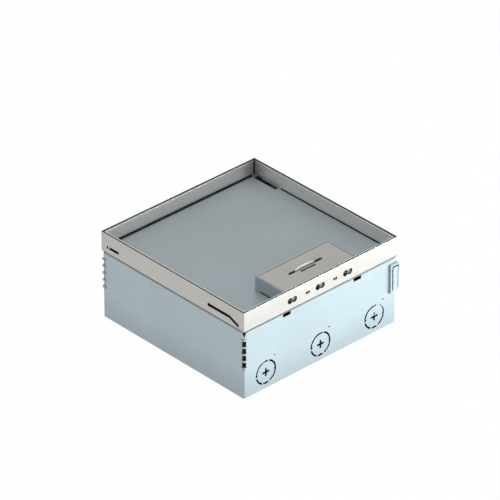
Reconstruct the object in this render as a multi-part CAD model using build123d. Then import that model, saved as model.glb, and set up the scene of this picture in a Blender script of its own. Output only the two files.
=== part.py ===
from build123d import *

import os

# Floor socket box with a height-adjustable frame and a lift-up cover with a cord outlet.
# Millimetres. The origin is the middle of the base plate's underside and +Z points up.
# The side with the conduit knock-outs and the cord outlet faces -Y.

# Overall sizes
frame_side = 200.0
frame_overhang = 0.9
total_height = 96.0

# Sheet thicknesses
wall_sheet = 1.0
base_sheet = 1.5
frame_sheet = 1.2
ring_sheet = 1.0
rim_sheet = 1.0
pan_sheet = 1.0
flap_sheet = 1.2
bracket_sheet = 1.5
carrier_sheet = 1.2
guide_sheet = 1.0

# How far a cutter runs past the face that it opens
past = 1.0

# Outer frame
frame_depth = 21.1
frame_corner_radius = 0.5
edge_radius = 0.25
eyelet_radius = 3.3
eyelet_shift = 5.3
eyelet_pitch = 36.0
eyelet_depth = 11.7
pip_radius = 1.25
pip_shift = 2.4
guide_slot_width = 2.2
guide_slot_depth = 12.5
guide_slot_low_depth = 17.2
guide_slot_back_inset = 48.0
guide_slot_bend_inset = 19.8
guide_slot_front_inset = 8.4

# Cover: rim, pan and cord-outlet well
cover_gap = 0.9
cover_drop = 0.8
recess_depth = 15.0
pan_corner_radius = 0.3
well_width = 93.4
well_length = 39.4
well_sheet = 1.0
window_width = 5.3
window_front_inset = 39.0
window_back_inset = 7.7
back_slit_width = 2.6
back_slit_left_inset = 20.0
back_slit_right_inset = 6.0
side_slit_width = 1.3
side_slit_front_inset = 20.2
side_slit_back_inset = 41.0
well_slit_length = 15.5
well_slit_start = 7.3
well_slit_height = 1.2
seam_width = 0.9
seam_windows = ((0.12, 0.42), (0.68, 0.92))
rim_mark_radius = 0.9
rim_mark_depth = 0.15
rim_mark_height = 6.0
rim_mark_inset = 22.5
rib_height = 6.0
rib_width = 22.0
rib_brim = 7.0
rib_side_gap = 21.9
rib_places = (-8.0, 44.0)

# Cover hinge pins, which slide in the frame's short slots
hinge_depth = 14.2
hinge_inset = 10.7
hinge_travel = 13.2
hinge_pin_radius = 1.1
hinge_slot_clearance = 0.1
hinge_slot_back_inset = 7.5
hinge_head_radius = 2.7
hinge_head_thickness = 1.4
hinge_pin_recess = 0.2

# Cord flap and pull handle
flap_gap = 0.5
flap_pivot_inset = 13.6
flap_pivot_depth = 9.4
flap_pin_radius = 1.5
flap_pin_recess = 0.2
flap_pin_head = 1.2
flap_ear_width = 12.0
flap_lip_height = 3.2
flap_lip_inset = 14.0
running_clearance = 0.05
handle_inset = 20.2
handle_sheet = 1.2
handle_width = 41.0
handle_slot_clearance = 0.35
handle_side_clearance = 0.6
handle_shoulder_width = 50.0
handle_shoulder_height = 3.0
handle_travel = 12.0
handle_crest_width = 24.0
handle_crest_height = 2.2
handle_crest_root = 0.5
finger_width = 30.0
finger_height = 9.0
finger_corner = 4.3
finger_top_gap = 0.8
short_slit_shift = 4.3
short_slit_width = 1.4
short_slit_length = 19.0
guide_height = 4.4
guide_width = 46.0
guide_clearance = 0.3
guide_flange = 6.0
guide_slit_gap = 0.2

# Support ring under the frame, its seal and its lugs
seal_thickness = 1.5
seal_width = 4.0
seal_gap = 0.2
ledge_width = 7.6
ledge_back_gap = 3.5
leg_below_frame = 1.2
skirt_gap = 0.6
skirt_end_gap = 0.5
swing_room_gap = 0.7
swing_room_side_gap = 0.2
lug_size = 26.0
lug_flange = 9.0
lug_head_gap = 0.3

# Levelling screws, their nuts and brackets
levelling_travel = 25.0
levelling_radius = 3.0
levelling_inset = 14.5
levelling_head_radius = 5.0
levelling_head_height = 3.4
levelling_socket_flats = 5.0
levelling_socket_depth = 2.2
levelling_head_edge = 0.6
levelling_tip_chamfer = 0.8
clip_radius = 5.5
clip_thickness = 0.8
clip_gap = 0.1
bracket_top_z = 43.5
bracket_foot_z = 18.0
bracket_size = 27.0
bracket_corner_gap = 7.0
bracket_hole_clearance = 0.5
nut_flats = 10.0
nut_height = 5.0

# Box walls
wall_top_gap = 0.2
fold_radius = 1.3
notch_places = (-46.0, 46.0)
notch_width = 10.0
notch_depth = 4.6
knockout_places = (-71.0, 0.0, 71.0)
knockout_z = 17.9
knockout_radius = 12.8
knockout_slot = 1.2
knockout_webs = (75.0, 190.0, 250.0, 290.0)
knockout_web_width = 1.7
knockout_nick = 1.1
cross_length = 8.0
cross_width = 1.4
wall_mark_shift = (11.3, 14.7)
wall_mark_radius = 1.0
wall_mark_depth = 0.15
ladder_corners = ((-1, -1), (-1, 1), (1, 1))
ladder_top_depth = 31.7
ladder_window_height = 6.3
ladder_pitch = 7.8
ladder_count = 4
ladder_reach = 2.8
ladder_bulge = 0.9
ladder_last_slot = 1.5
ladder_notch_bottom_radius = 0.9
ladder_notch_top_radius = 3.0
tongue_bulge = 2.2
tongue_length = 10.8
tongue_top_drop = 4.5
tongue_height = 34.2
tongue_slot = 1.5
tongue_slot_margin = 3.6
tongue_slot_inset = 1.8

# Base plate
fixing_radius = 3.5
fixing_spacing_x = 116.0
fixing_spacing_y = 132.0
tab_width = 20.0
tab_height = 9.0
tab_places = (-36.0, 36.0)
swage_height = 1.6
swage_width = 14.0
swage_length = 60.0
swage_inset = 19.1

# Socket carrier and what it holds
carrier_side_gap = 8.1
carrier_width = 60.0
carrier_y = 28.0
carrier_top_z = 36.0
carrier_foot = 12.0
carrier_window_width = 28.0
carrier_window_foot = 8.0
carrier_window_head = 6.0
module_pitch = 46.0
module_side = 45.0
module_opening = 43.5
module_plate = 2.5
module_corner = 2.0
well_radius = 19.5
well_wall = 1.0
well_depth = 17.5
well_floor = 1.5
well_mouth_chamfer = 0.8
contact_hole_radius = 2.6
contact_hole_depth = 9.0
contact_spacing = 19.0
socket_body_side = 41.5
socket_body_height = 12.0
terminal_hole_radius = 1.6
terminal_hole_depth = 6.0
terminal_spacing = 24.0
earth_clip_width = 6.0
earth_clip_sheet = 0.8
earth_clip_height = 13.0
earth_clip_foot = 4.0
earth_clip_gap = 0.4
earth_clip_opening_gap = 0.3
earth_clip_opening_margin = 1.0
earth_hook_depth = 1.4
earth_hook_low = 6.0
earth_hook_high = 9.0
socket_screw_radius = 1.5
socket_screw_head = 2.9
socket_screw_head_height = 1.6
socket_screw_length = 8.0
socket_screw_hole_depth = 10.0
jack_width = 16.0
jack_depth = 14.0
jack_height = 22.0
jack_spacing = 19.0
jack_gap = 0.2
jack_drop = 0.4
jack_shift = 1.0
jack_flange_width = 3.0
jack_flange_height = 2.0
data_skirt_gap = 0.5
data_skirt_sheet = 1.5
data_skirt_depth = 4.0
data_skirt_corner = 1.0
port_width = 11.8
port_height = 8.4
port_depth = 13.0
port_key_width = 4.0
port_key_height = 2.2
divider_sheet = 1.0
divider_x = 22.5
divider_end_gap = 3.0
divider_foot_width = 7.0
divider_foot_length = 12.0
small_screw_radius = 2.0
small_head_radius = 3.6
small_head_height = 2.2
small_screw_clearance = 0.25
head_edge = 0.5
driver_slot_width = 0.9
driver_slot_depth = 0.9
screw_end_z = 0.2
carrier_screw_places = (8.0, 48.0)

# Cable clamps and earth stud
clamp_rail_y = -44.0
clamp_rail_width = 12.0
clamp_rail_height = 7.0
clamp_rail_sheet = 1.2
clamp_rail_foot = 8.0
saddle_width = 26.0
saddle_depth = 10.0
saddle_height = 9.0
saddle_bore = 6.0
saddle_corner = 1.5
clamp_screw_reach = 2.0
saddle_screw_spacing = 18.0
earth_x = -36.0
earth_y = -16.0
earth_stud_radius = 2.5
earth_stud_height = 16.0
earth_head_radius = 4.5
earth_head_height = 1.8
earth_washer_radius = 5.5
earth_washer_height = 1.0
earth_nut_flats = 8.0
earth_nut_height = 4.0

# Places that follow from the sizes above
frame_half = frame_side / 2
frame_inner = frame_half - frame_sheet
frame_bottom = total_height - frame_depth
rim_half = frame_inner - cover_gap
rim_inner = rim_half - rim_sheet
rim_top = total_height - cover_drop
pan_top = rim_top - recess_depth
pan_bottom = pan_top - pan_sheet
seal_top = pan_bottom - seal_gap
ledge_top = seal_top - seal_thickness
ledge_bottom = ledge_top - ring_sheet
leg_bottom = frame_bottom - leg_below_frame
wall_top = leg_bottom - wall_top_gap
body_half = frame_half - frame_overhang
body_inner = body_half - wall_sheet
skirt_half = body_inner - skirt_gap
skirt_inner = skirt_half - ring_sheet
skirt_end_z = bracket_top_z + skirt_end_gap
hinge_y = frame_half - hinge_inset
hinge_z = total_height - hinge_depth
hinge_slot_back_y = frame_half - hinge_slot_back_inset
guide_slot_back_y = guide_slot_back_inset - frame_half
guide_slot_bend_y = guide_slot_bend_inset - frame_half
guide_slot_front_y = guide_slot_front_inset - frame_half
swing_radius = ((rim_half - hinge_y) ** 2 + (hinge_z - pan_bottom) ** 2) ** 0.5
swing_room_floor_z = hinge_z - swing_radius - swing_room_gap
ledge_back_y = hinge_y - hinge_travel - (hinge_z - pan_bottom) - ledge_back_gap
tongue_top_z = wall_top - tongue_top_drop
tongue_bottom_z = tongue_top_z - tongue_height
well_half = well_width / 2
well_inner = well_half - well_sheet
well_front = -rim_inner
well_back = well_front + well_length
flap_pivot_y = well_front + flap_pivot_inset
flap_pivot_z = total_height - flap_pivot_depth
handle_y = well_front + handle_inset
short_slit_y = handle_y - short_slit_shift
flap_half = well_inner - flap_gap
flap_front = well_front + flap_gap
flap_reach = well_back - well_sheet - flap_gap - flap_pivot_y
flap_back = flap_pivot_y + (flap_reach**2 - (rim_top - flap_pivot_z) ** 2) ** 0.5
flap_bottom = rim_top - flap_sheet
corners = {"front": (-1, -1), "left": (-1, 1), "right": (1, -1), "rear": (1, 1)}
levelling_offset = skirt_inner - levelling_inset
levelling_head_top = swing_room_floor_z - lug_head_gap
lug_top_z = levelling_head_top - levelling_head_height
nut_bottom_z = bracket_top_z - bracket_sheet - nut_height
levelling_end_z = nut_bottom_z - levelling_travel
handle_height = flap_sheet + guide_height + handle_travel + handle_shoulder_height
module_places = {"left": -module_pitch, "middle": 0.0, "data": module_pitch}
module_top = carrier_top_z + module_plate
well_bottom = module_top - well_depth
carrier_bottom = carrier_top_z - carrier_sheet
carrier_half = body_inner - carrier_side_gap - carrier_foot
rail_bottom_z = base_sheet
rail_top_z = rail_bottom_z + clamp_rail_height


def slab(x0, x1, y0, y1, z0, z1):
    """A block between two corners."""
    return Pos(x0, y0, z0) * Box(x1 - x0, y1 - y0, z1 - z0, align=(Align.MIN, Align.MIN, Align.MIN))


def square_outline(half, radius):
    """A square sketch with its corners rounded, or sharp where the radius has run out."""
    if radius > 0:
        return RectangleRounded(2 * half, 2 * half, radius)
    return Rectangle(2 * half, 2 * half)


def square_ring(half, sheet, z0, z1, radius=0.0):
    """A folded square band of sheet, given by its outer half width."""
    outline = square_outline(half, radius) - square_outline(half - sheet, radius - sheet)
    return Pos(0, 0, z0) * extrude(outline, z1 - z0)


def rod_x(radius, x0, x1, y, z):
    """A round bar along X."""
    return Pos((x0 + x1) / 2, y, z) * Rot(0, 90, 0) * Cylinder(radius, abs(x1 - x0))


def rod_y(radius, y0, y1, x, z):
    """A round bar along Y."""
    return Pos(x, (y0 + y1) / 2, z) * Rot(90, 0, 0) * Cylinder(radius, abs(y1 - y0))


def rod_z(radius, z0, z1, x, y):
    """A round bar along Z."""
    return Pos(x, y, (z0 + z1) / 2) * Cylinder(radius, abs(z1 - z0))


def hexagon(flats, z0, z1, x, y):
    """A hexagonal bar along Z, given across its flats."""
    return Pos(x, y, z0) * extrude(RegularPolygon(flats / 2, 6, major_radius=False), z1 - z0)


def corner_slab(corner, near, far, z0, z1):
    """A block over a corner of the box, from near to far along both of its sides."""
    sx, sy = corner
    x0, x1 = sorted((sx * near, sx * far))
    y0, y1 = sorted((sy * near, sy * far))
    return slab(x0, x1, y0, y1, z0, z1)


def knockout_cut():
    """The ring slot, nicks and cross of one knock-out, drawn on the front wall's plane."""
    ring = Circle(knockout_radius) - Circle(knockout_radius - knockout_slot)
    for angle in knockout_webs:
        web = Rectangle(6 * knockout_slot, knockout_web_width)
        ring -= Rot(0, 0, angle) * Pos(knockout_radius, 0) * web
    for angle in (0, 180, 270):
        ring += Rot(0, 0, angle) * Pos(knockout_radius - knockout_slot, 0) * Circle(knockout_nick)
    cross = Rectangle(cross_length, cross_width) + Rectangle(cross_width, cross_length)
    return ring + cross


def cut_ladder(band, corner):
    """Cuts the column of corner windows, with the webs between them pressed outwards."""
    reach = body_half - ladder_reach
    beyond = body_half + 2 * ladder_bulge
    top = total_height - ladder_top_depth
    web = ladder_pitch - ladder_window_height
    for i in range(ladder_count):
        high = top - i * ladder_pitch
        band -= corner_slab(corner, reach, beyond, high - ladder_window_height, high)
    last = top - ladder_count * ladder_pitch
    band -= corner_slab(corner, reach, beyond, last - ladder_last_slot, last)
    for i in range(ladder_count + 1):
        low = top - i * ladder_pitch
        strap = corner_slab(corner, reach - ladder_bulge, body_half + ladder_bulge, low, low + web)
        strap -= corner_slab(corner, reach - 3 * ladder_bulge, body_inner, low - past, low + web + past)
        outer = strap.edges().filter_by(Axis.Z).sort_by_distance(
            (corner[0] * (body_half + ladder_bulge), corner[1] * (body_half + ladder_bulge), low)
        )[0]
        band += chamfer(outer, ladder_bulge)
    sx, sy = corner
    wedge_height = wall_top - top - web
    wedge = Cone(ladder_notch_bottom_radius, ladder_notch_top_radius, wedge_height)
    return band - Pos(sx * body_half, sy * body_half, wall_top - wedge_height / 2) * wedge


def add_tongue(band):
    """Presses the right corner outwards and slits a spring tongue free in it."""
    corner = corners["right"]
    near = body_half + tongue_bulge - tongue_length
    far = body_half + tongue_bulge
    outer = corner_slab(corner, near, far, tongue_bottom_z, tongue_top_z)
    ends = outer.faces().filter_by(Axis.Z).edges()
    edges = [e for e in ends if e.center().X > body_half or e.center().Y < -body_half]
    outer = chamfer(edges, tongue_bulge - running_clearance)
    inner = corner_slab(
        corner, near + wall_sheet, far - wall_sheet, tongue_bottom_z + wall_sheet, tongue_top_z - wall_sheet
    )
    behind = corner_slab(corner, near - past, body_inner, tongue_bottom_z - past, tongue_top_z + past)
    band -= inner
    band += outer - inner - behind
    left = near + tongue_slot_inset
    right = far - tongue_slot_inset / 2
    front = (-far - past, -body_half)
    z0, z1 = tongue_bottom_z + tongue_slot_margin, tongue_top_z - tongue_slot_margin
    band -= slab(left, left + tongue_slot, *front, z0, z1)
    band -= slab(left, right, *front, z1 - tongue_slot, z1)
    return band - slab(right - tongue_slot / 2, right, *front, z0 + tongue_slot, z1)


def make_wall_band():
    """The folded side walls of the box, with knock-outs, notches, ladders and the tongue."""
    band = square_ring(body_half, wall_sheet, 0, wall_top, fold_radius)
    cut = extrude(Plane.XZ * knockout_cut(), wall_sheet + 2 * past, dir=(0, -1, 0))
    for x in knockout_places:
        band -= Pos(x, -body_inner + past, knockout_z) * cut
        mark = (x + wall_mark_shift[0], knockout_z + wall_mark_shift[1])
        band -= rod_y(wall_mark_radius, -body_half - past, -body_half + wall_mark_depth, *mark)
    for x in notch_places:
        half = notch_width / 2
        front = (-body_half - past, -body_inner + past)
        band -= slab(x - half, x + half, *front, wall_top - notch_depth, wall_top + past)
    for corner in ladder_corners:
        band = cut_ladder(band, corner)
    return add_tongue(band)


def carrier_screw_points():
    """The places of the carrier's four screws."""
    x = carrier_half + carrier_foot / 2
    return [(side * x, y) for side in (-1, 1) for y in carrier_screw_places]


def clamp_screw_points():
    """The places of the six saddle screws."""
    half = saddle_screw_spacing / 2
    return [(x + side * half, clamp_rail_y) for x in knockout_places for side in (-1, 1)]


def make_base_plate():
    """The floor of the box, with weld tabs, a pressed swage and its holes."""
    plate = extrude(square_outline(body_inner, fold_radius - wall_sheet), base_sheet)
    half = tab_width / 2
    across = (body_inner - base_sheet, body_inner)
    for place in tab_places:
        for turn in range(4):
            tab = slab(place - half, place + half, *across, base_sheet, tab_height)
            plate += Rot(0, 0, 90 * turn) * tab
    swage_y = swage_inset - body_inner
    swage = Pos(0, swage_y, base_sheet) * extrude(SlotOverall(swage_length, swage_width), swage_height)
    hollow = Pos(0, swage_y, 0) * extrude(
        SlotOverall(swage_length - 2 * base_sheet, swage_width - 2 * base_sheet), swage_height
    )
    plate = plate + swage - hollow
    for sx, sy in corners.values():
        x, y = sx * fixing_spacing_x / 2, sy * fixing_spacing_y / 2
        plate -= rod_z(fixing_radius, -past, base_sheet + past, x, y)
    for x, y in carrier_screw_points():
        plate -= rod_z(small_screw_radius, -past, base_sheet + past, x, y)
    return plate - rod_z(earth_stud_radius, -past, base_sheet + past, earth_x, earth_y)


def make_corner_bracket(corner):
    """One folded bracket welded in a corner of the box, which holds a levelling nut."""
    sx, sy = corner
    near, far = body_inner - bracket_size, body_inner
    gap = bracket_corner_gap
    plate = corner_slab(corner, near, far - bracket_sheet, bracket_top_z - bracket_sheet, bracket_top_z)
    plate -= corner_slab(corner, far - gap, far, 0, total_height)
    hole = levelling_radius + bracket_hole_clearance
    plate -= rod_z(hole, 0, total_height, sx * levelling_offset, sy * levelling_offset)
    against, along = (far - bracket_sheet, far), (near, far - gap)
    for a, b in ((against, along), (along, against)):
        x0, x1 = sorted((sx * a[0], sx * a[1]))
        y0, y1 = sorted((sy * b[0], sy * b[1]))
        plate += slab(x0, x1, y0, y1, bracket_foot_z, bracket_top_z)
    return plate


def make_corner_nut(corner):
    """One levelling nut, welded under its bracket."""
    x, y = corner[0] * levelling_offset, corner[1] * levelling_offset
    nut = hexagon(nut_flats, nut_bottom_z, nut_bottom_z + nut_height, x, y)
    return nut - rod_z(levelling_radius + running_clearance, 0, total_height, x, y)


def frame_band():
    """The stainless band round the top, with its eyelets, pips and guide slots."""
    frame = square_ring(frame_half, frame_sheet, frame_bottom, total_height, frame_corner_radius)
    frame = fillet(frame.faces().sort_by(Axis.Z)[-1].edges(), edge_radius)
    z = total_height - eyelet_depth
    front = (-frame_half - past, -frame_inner + past)
    for i in (-1, 0, 1):
        for shift in (0, -eyelet_shift):
            frame -= rod_y(eyelet_radius, *front, i * eyelet_pitch + shift, z)
    for side in (-1, 1):
        for shift in (pip_shift / 2, -pip_shift / 2):
            frame -= rod_y(pip_radius, *front, side * eyelet_pitch / 2 + shift, z)
    high = total_height - guide_slot_depth
    low = total_height - guide_slot_low_depth
    half = guide_slot_width / 2
    path = Polyline((guide_slot_back_y, high), (guide_slot_bend_y, high), (guide_slot_front_y, low))
    guide = trace(path, guide_slot_width)
    for y, z in ((guide_slot_back_y, high), (guide_slot_bend_y, high), (guide_slot_front_y, low)):
        guide += Pos(y, z) * Circle(half)
    radius = hinge_pin_radius + hinge_slot_clearance
    slot_front = hinge_y - hinge_travel - radius
    middle = (hinge_slot_back_y + slot_front) / 2
    short = Pos(middle, hinge_z) * SlotOverall(hinge_slot_back_y - slot_front, 2 * radius)
    cut = extrude(Plane.YZ * (guide + short), frame_half + past, both=True)
    clear = frame_inner - past
    return frame - (cut - slab(-clear, clear, -frame_half, frame_half, 0, total_height))


def between_folds():
    """The space between the front and the back strip of the band."""
    return slab(-frame_half - past, frame_half + past, -frame_inner, frame_inner, 0, total_height + past)


def make_outer_frame():
    """The band's front strip, with the eyelets, and its back strip."""
    return frame_band() - between_folds()


def make_frame_sides():
    """The band's two side strips, with the guide slots and the hinge slots."""
    return frame_band() & between_folds()


def ring_section(floor_z):
    """The support ring's upright and joggle, all round, down to a height in the skirt's line."""
    radius = frame_corner_radius - frame_sheet
    joggle_top = leg_bottom + ring_sheet
    upright = square_ring(frame_inner, ring_sheet, leg_bottom, ledge_top, radius)
    joggle = square_ring(frame_inner, frame_inner - skirt_inner, leg_bottom, joggle_top, radius)
    return upright + joggle + square_ring(skirt_half, ring_sheet, floor_z, joggle_top)


def make_support_ring():
    """The ledge under the cover and its joggle, on the three sides away from the hinge."""
    radius = frame_corner_radius - frame_sheet
    ledge = square_ring(frame_inner, frame_inner - rim_inner + ledge_width, ledge_bottom, ledge_top, radius)
    ring = ring_section(swing_room_floor_z) + ledge
    return ring - slab(-frame_half, frame_half, ledge_back_y, frame_half, 0, total_height)


def make_ring_back():
    """The ring's plain strip behind the hinge."""
    ring = ring_section(swing_room_floor_z)
    return ring - slab(-frame_half, frame_half, -frame_half, skirt_inner, 0, total_height)


def make_ring_end(side):
    """The thin edge beside the swinging end of the cover, between the ledge and the back strip."""
    x0, x1 = sorted((side * (rim_half + swing_room_side_gap), side * frame_inner))
    return slab(x0, x1, ledge_back_y, skirt_inner, leg_bottom, ledge_top)


def make_ring_skirt():
    """The band under the ring, which slides inside the box."""
    return square_ring(skirt_half, ring_sheet, skirt_end_z, swing_room_floor_z)


def make_ledge_seal():
    """The rubber strip on the ledge, open at the hinge side."""
    seal = square_ring(rim_half, seal_width, ledge_top, seal_top)
    return seal - slab(-frame_half, frame_half, ledge_back_y, frame_half, 0, total_height)


def make_corner_lug(corner):
    """One plate welded in a corner of the skirt, which a levelling screw carries."""
    sx, sy = corner
    near, far = skirt_inner - lug_size, skirt_inner
    low = lug_top_z - bracket_sheet
    lug = corner_slab(corner, near, far, low, lug_top_z)
    lug += corner_slab(corner, near, far, low - lug_flange, low) - corner_slab(
        corner, near - past, far - bracket_sheet, low - lug_flange - past, low
    )
    hole = levelling_radius + running_clearance
    return lug - rod_z(hole, 0, total_height, sx * levelling_offset, sy * levelling_offset)


def make_levelling_screw(corner):
    """One levelling screw with a hexagon socket in its head."""
    x, y = corner[0] * levelling_offset, corner[1] * levelling_offset
    shank = rod_z(levelling_radius, levelling_end_z, lug_top_z + clip_gap, x, y)
    shank = chamfer(shank.edges().sort_by(Axis.Z)[0], levelling_tip_chamfer)
    head = rod_z(levelling_head_radius, lug_top_z + clip_gap, levelling_head_top, x, y)
    head = chamfer(head.edges().sort_by(Axis.Z)[-1], levelling_head_edge)
    socket_floor = levelling_head_top - levelling_socket_depth
    socket = hexagon(levelling_socket_flats, socket_floor, total_height, x, y)
    return shank + head - socket


def make_retaining_clip(corner):
    """The clip under the lug that makes the frame follow its screw."""
    x, y = corner[0] * levelling_offset, corner[1] * levelling_offset
    top = lug_top_z - bracket_sheet - clip_gap
    clip = rod_z(clip_radius, top - clip_thickness, top, x, y)
    return clip - rod_z(levelling_radius, 0, total_height, x, y)


def make_tray_rim():
    """The stainless rim of the cover, with holes for the hinge pins and behind the eyelets."""
    rim = square_ring(rim_half, rim_sheet, pan_bottom, rim_top, rim_sheet + pan_corner_radius)
    rim = fillet(rim.faces().sort_by(Axis.Z)[-1].edges(), edge_radius)
    z = total_height - eyelet_depth
    for i in (-1, 0, 1):
        rim -= rod_y(eyelet_radius, -rim_half - past, -rim_inner + past, i * eyelet_pitch - eyelet_shift, z)
    for side in (-1, 1):
        x = side * eyelet_pitch / 2 - pip_shift / 2
        rim -= rod_y(pip_radius, -rim_half - past, -rim_inner + past, x, z)
    hole = hinge_pin_radius + running_clearance
    for side in (-1, 1):
        rim -= rod_x(hole, side * (rim_inner - past), side * (rim_half + past), hinge_y, hinge_z)
        near, far = side * (rim_inner - past), side * (rim_inner + rim_mark_depth)
        for y in (rim_mark_inset - frame_half, frame_half - rim_mark_inset):
            rim -= rod_x(rim_mark_radius, near, far, y, total_height - rim_mark_height)
    return rim


def make_tray_pan():
    """The cover's floor, folded up round the cord-outlet well, with its slits and windows."""
    pan = Pos(0, 0, pan_bottom) * extrude(square_outline(rim_inner, pan_corner_radius), pan_sheet)
    pan += slab(-well_half, well_half, well_front, well_back, pan_top, rim_top)
    pan -= slab(-well_inner, well_inner, well_front - past, well_back - well_sheet, 0, total_height)
    edge = rim_inner
    left, right = back_slit_left_inset - frame_half, frame_half - back_slit_right_inset
    pan -= slab(left, right, edge - back_slit_width, edge, 0, total_height)
    slit_front, slit_back = side_slit_front_inset - frame_half, frame_half - side_slit_back_inset
    window_front, window_back = frame_half - window_front_inset, frame_half - window_back_inset
    for side in (-1, 1):
        x0, x1 = sorted((side * (edge - side_slit_width), side * edge))
        pan -= slab(x0, x1, slit_front, slit_back, 0, total_height)
        x0, x1 = sorted((side * (edge - window_width), side * edge))
        pan -= slab(x0, x1, window_front, window_back, 0, total_height)
        x0, x1 = sorted((side * (well_inner - past), side * well_half))
        back = well_back - well_slit_start
        pan -= slab(x0, x1, back - well_slit_length, back, 0, pan_top + well_slit_height)
        near, far = side * (well_inner - past), side * (well_half + past)
        pan -= rod_x(flap_pin_radius, near, far, flap_pivot_y, flap_pivot_z)
        x0, x1 = sorted((side * (well_half - seam_width), side * (well_half + past)))
        for low, high in seam_windows:
            z0, z1 = pan_top + low * recess_depth, pan_top + high * recess_depth
            pan -= slab(x0, x1, well_back - seam_width, well_back + past, z0, z1)
    return pan


def make_tray_rib(y):
    """One hat-shaped rib under the cover's floor."""
    half = rib_width / 2
    outer = half - rib_brim
    profile = Polygon(
        (-half, 0), (half, 0), (half, -pan_sheet), (outer, -pan_sheet), (outer, -rib_height),
        (-outer, -rib_height), (-outer, -pan_sheet), (-half, -pan_sheet), align=None,
    )
    inner = outer - pan_sheet
    profile -= Pos(0, (pan_sheet - rib_height) / 2) * Rectangle(2 * inner, rib_height - pan_sheet)
    rib = extrude(Plane.YZ * profile, rim_inner - rib_side_gap, both=True)
    return Pos(0, y, pan_bottom) * rib


def make_hinge_pins():
    """The two headed pins on which the cover swings."""
    pins = []
    for side in (-1, 1):
        seat = rim_inner - running_clearance
        inner, outer = side * (seat - hinge_head_thickness), side * (frame_half - hinge_pin_recess)
        shank = rod_x(hinge_pin_radius, inner, outer, hinge_y, hinge_z)
        pins.append(shank + rod_x(hinge_head_radius, inner, side * seat, hinge_y, hinge_z))
    return pins


def make_flap_pins():
    """The two rivets in the well's sides on which the cord flap rocks."""
    pins = []
    for side in (-1, 1):
        inner = side * (flap_half - flap_sheet - flap_pin_head)
        outer = side * (well_half - flap_pin_recess)
        pins.append(rod_x(flap_pin_radius, inner, outer, flap_pivot_y, flap_pivot_z))
    return pins


def make_cord_flap():
    """The stainless flap over the cord outlet: a plate with two ears, a lip and the handle slots."""
    plate = slab(-flap_half, flap_half, flap_front, flap_back, flap_bottom, rim_top)
    plate = fillet(plate.faces().sort_by(Axis.Z)[-1].edges(), edge_radius)
    lip_half = flap_half - flap_lip_inset
    lip_low = rim_top - flap_lip_height
    flap = plate + slab(-lip_half, lip_half, flap_front, flap_front + flap_sheet, lip_low, flap_bottom)
    for side in (-1, 1):
        x0, x1 = sorted((side * (flap_half - flap_sheet), side * flap_half))
        half = flap_ear_width / 2
        ear = slab(x0, x1, flap_pivot_y - half, flap_pivot_y + half, flap_pivot_z, flap_bottom)
        ear += rod_x(half, x0, x1, flap_pivot_y, flap_pivot_z)
        hole = flap_pin_radius + running_clearance
        flap += ear - rod_x(hole, x0 - past, x1 + past, flap_pivot_y, flap_pivot_z)
    through = flap_sheet + 2 * past
    slot = SlotOverall(handle_width + 2 * handle_slot_clearance, handle_sheet + 2 * handle_slot_clearance)
    flap -= Pos(0, handle_y, flap_bottom - past) * extrude(slot, through)
    slit = SlotOverall(short_slit_length, short_slit_width)
    return flap - Pos(0, short_slit_y, flap_bottom - past) * extrude(slit, through)


def make_pull_handle():
    """The flat pull handle, with a finger hole, a raised crest and shoulders that stop it."""
    top = rim_top
    half = handle_width / 2 - handle_side_clearance
    bottom = top - handle_height
    blade = Pos(0, (top + bottom) / 2) * Rectangle(2 * half, handle_height)
    shoulders = Rectangle(handle_shoulder_width, handle_shoulder_height)
    blade += Pos(0, bottom + handle_shoulder_height / 2) * shoulders
    crest_radius = (handle_crest_width**2 / 4 + handle_crest_height**2) / (2 * handle_crest_height)
    crest = Pos(0, top + handle_crest_height - crest_radius) * Circle(crest_radius)
    cap = Rectangle(handle_crest_width, handle_crest_height + handle_crest_root)
    crest &= Pos(0, top + (handle_crest_height - handle_crest_root) / 2) * cap
    finger_z = top - flap_sheet - finger_top_gap - finger_height / 2
    hole = Pos(0, finger_z) * RectangleRounded(finger_width, finger_height, finger_corner)
    outline = blade + crest - hole
    return Pos(0, handle_y + handle_sheet / 2, 0) * extrude(Plane.XZ * outline, handle_sheet)


def make_handle_guide():
    """The folded clip under the flap that guides the handle and stops its shoulders."""
    half = guide_width / 2
    gap = handle_sheet / 2 + guide_clearance
    low = flap_bottom - guide_height
    rear, front = handle_y + gap, handle_y - gap
    fold = flap_bottom - guide_sheet
    guide = slab(-half, half, rear, rear + guide_sheet, low, flap_bottom)
    guide += slab(-half, half, rear, rear + guide_flange, fold, flap_bottom)
    edge = short_slit_y + short_slit_width / 2 + guide_slit_gap
    clip = slab(-half, half, edge, front, fold, flap_bottom)
    clip += slab(-half, half, front - guide_sheet, front, low, flap_bottom)
    return [guide, clip]


def bridge_profile(half, foot, sheet, low, high):
    """The section of a sheet bent into a bridge with two outward feet."""
    outer = Pos(0, (low + high) / 2) * Rectangle(2 * half, high - low)
    hollow = Pos(0, (low + high - sheet) / 2) * Rectangle(2 * (half - sheet), high - low - sheet)
    feet = Pos(0, low + sheet / 2) * Rectangle(2 * (half + foot), sheet)
    return outer + feet - hollow


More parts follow.
